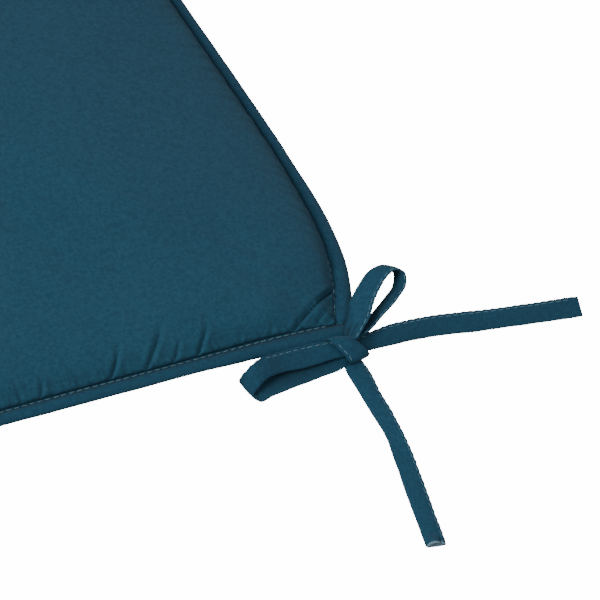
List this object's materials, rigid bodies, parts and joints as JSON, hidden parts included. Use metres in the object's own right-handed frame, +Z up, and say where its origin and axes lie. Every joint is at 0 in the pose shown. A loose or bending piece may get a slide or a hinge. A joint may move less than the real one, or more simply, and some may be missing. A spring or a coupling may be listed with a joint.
{
  "type": "chair pad",
  "caption": "Thin filled seat pad with a bound edge and bows of tape ties at its back corners, for tying to a chair.",
  "frame": {"origin": "middle of the flat underside, midway between the sides and between the front and back edges of the pad", "axes": "+Z up through the filling, -Y toward the back edge with the ties, +X to the right seen from above with the back edge nearest"},
  "size_m": [0.5839, 0.5203, 0.0265],
  "materials": {
    "pad_cloth": "plain-woven petrol blue polyester, matt with a faint sheen",
    "tape_cloth": "the same cloth cut as folded tape, edge-stitched in a paler thread"
  },
  "bodies": {
    "root": {"pad": "pad_cloth", "binding_side": "tape_cloth", "binding_back": "tape_cloth", "tie_plain_right": "tape_cloth", "tie_wrap_right": "tape_cloth", "tie_plain_left": "tape_cloth", "tie_wrap_left": "tape_cloth"}
  },
  "joints": []
}
